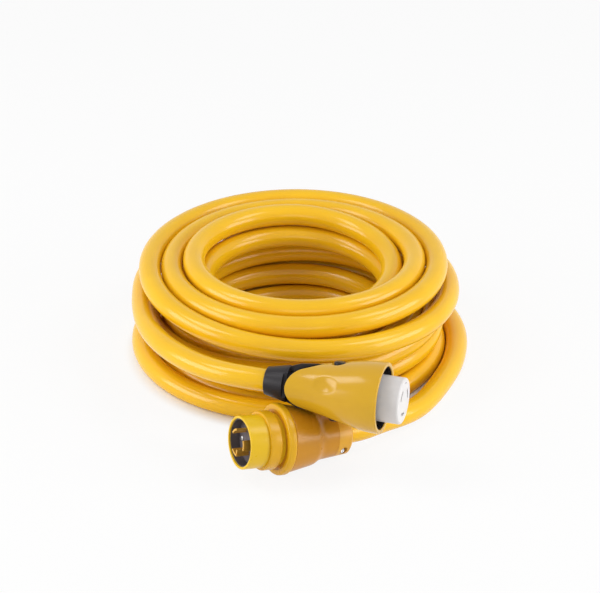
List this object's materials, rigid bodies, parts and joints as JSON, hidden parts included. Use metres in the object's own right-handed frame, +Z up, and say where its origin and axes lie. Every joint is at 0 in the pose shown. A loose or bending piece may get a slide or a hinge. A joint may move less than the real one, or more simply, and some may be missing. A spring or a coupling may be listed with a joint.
{
  "type": "shore power cord",
  "caption": "Thick yellow shore power cable lying in a pile of loops, with a locking connector with sprung jaws at one end and a sleeved plug with curved blades at the other.",
  "frame": {"origin": "middle of the whole part on the floor under it", "axes": "+Z up from the floor, -Y from the pile towards its two ends, +X towards the side the connector points to"},
  "size_m": [0.4169, 0.5526, 0.1409],
  "materials": {
    "cable": "satin",
    "yellow_plastic": "glossy",
    "bright_yellow_plastic": "glossy",
    "black_rubber": "matte",
    "black_plastic": "satin",
    "white_plastic": "satin",
    "grey_plastic": "matte",
    "brass": "polished",
    "steel": "plated",
    "wire_sheath": "matte"
  },
  "bodies": {
    "cord": {"cable_coil": "cable", "connector_lead": "cable", "plug_lead": "cable", "connector_core": "black_plastic", "strain_relief": "black_rubber", "contact_carrier": "white_plastic", "carrier_base": "grey_plastic", "line_contacts": "brass", "neutral_contact": "brass", "ground_clip": "steel", "connector_terminal_screws": "steel", "carrier_screws": "steel", "face_gasket": "black_rubber", "hinge_pins": "black_plastic", "spring_near": "steel", "spring_far": "steel", "connector_wires": "wire_sheath", "plug_cover": "yellow_plastic", "grip_flange": "bright_yellow_plastic", "plug_sleeve": "bright_yellow_plastic", "ground_liner": "steel", "collar_ring": "yellow_plastic", "blade_carrier": "grey_plastic", "carrier_plate": "grey_plastic", "line_blades": "brass", "neutral_blade": "brass", "face_screws": "steel", "plug_terminal_screws": "steel", "clamp_saddle": "yellow_plastic", "clamp_screws": "steel", "gland_seal": "black_rubber", "plug_wires": "wire_sheath"},
    "jaw_near": {"jaw_near": "yellow_plastic"},
    "jaw_far": {"jaw_far": "yellow_plastic"}
  },
  "joints": [
    {"name": "jaw_near_hinge", "type": "hinge", "parent": "cord", "child": "jaw_near", "pos_m": [0.0435, -0.2167, 0.0995], "axis": [-0.1, -0.3271, -0.9397], "range_deg": [0, 5], "stiffness_Nm_per_rad": 5, "springref_deg": -5.73, "deforming": ["spring_near"]},
    {"name": "jaw_far_hinge", "type": "hinge", "parent": "cord", "child": "jaw_far", "pos_m": [0.0435, -0.2167, 0.0995], "axis": [0.1, 0.3271, 0.9397], "range_deg": [0, 5], "stiffness_Nm_per_rad": 5, "springref_deg": -5.73, "deforming": ["spring_far"]}
  ]
}
